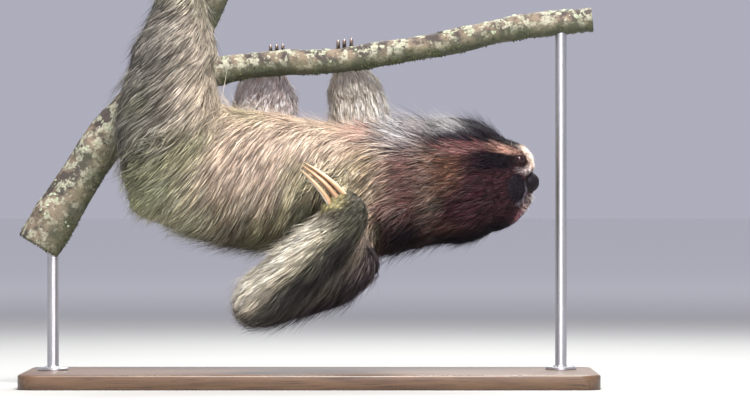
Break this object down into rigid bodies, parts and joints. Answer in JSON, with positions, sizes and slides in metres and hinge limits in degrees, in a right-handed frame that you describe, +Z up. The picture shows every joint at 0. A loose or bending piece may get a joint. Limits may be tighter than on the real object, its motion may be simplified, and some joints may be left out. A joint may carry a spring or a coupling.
{
  "type": "three-toed sloth model",
  "caption": "Life-size still model of a brown-throated three-toed sloth hanging belly up by its claws under a forked perch, on a flat base with steel rods.",
  "frame": {"origin": "centre of the display base's underside, which rests on the floor", "axes": "+Z up, against gravity; the long side of the base and the head point along +X; the left side of the trunk faces -Y; belly up"},
  "size_m": [0.6978, 0.3471, 0.5933],
  "materials": {
    "coat_trunk": "long coarse coat, cream and tan streaked with dark brown, faintly green",
    "coat_hind": "long coarse coat, grey-brown with dark and pale streaks",
    "coat_fore": "long coarse coat, cream along the upper edge and dark grey-green below",
    "coat_head": "pale brow band, dark eye stripe and muzzle, dark grey crown, brown curly throat",
    "claw": "satin horn, cream streaked with brown along its length",
    "eye": "glossy, wet, very dark brown",
    "nose": "damp black skin with a fine grain",
    "bark": "rough bark, pale lichen above and dark below, cut ends of bare wood",
    "stand_metal": "brushed",
    "stand_wood": "dark stained wood, satin"
  },
  "bodies": {
    "root": {"trunk": "coat_trunk", "tail": "coat_trunk", "neck": "coat_head", "head": "coat_head", "left_thigh": "coat_hind", "left_shank": "coat_hind", "left_foot": "coat_hind", "right_thigh": "coat_hind", "right_shank": "coat_hind", "right_foot": "coat_hind", "left_upper_arm": "coat_fore", "left_forearm": "coat_fore", "left_hand": "coat_fore", "right_upper_arm": "coat_fore", "right_forearm": "coat_fore", "right_hand": "coat_fore", "left_hand_claw_1": "claw", "left_hand_claw_2": "claw", "left_hand_claw_3": "claw", "right_hand_claw_1": "claw", "right_hand_claw_2": "claw", "right_hand_claw_3": "claw", "left_foot_claw_1": "claw", "left_foot_claw_2": "claw", "left_foot_claw_3": "claw", "right_foot_claw_1": "claw", "right_foot_claw_2": "claw", "right_foot_claw_3": "claw", "left_eye": "eye", "right_eye": "eye", "nose": "nose", "perch_stem": "bark", "perch_branch": "bark", "stand_rod_left": "stand_metal", "stand_rod_right": "stand_metal", "stand_base": "stand_wood"}
  },
  "joints": []
}
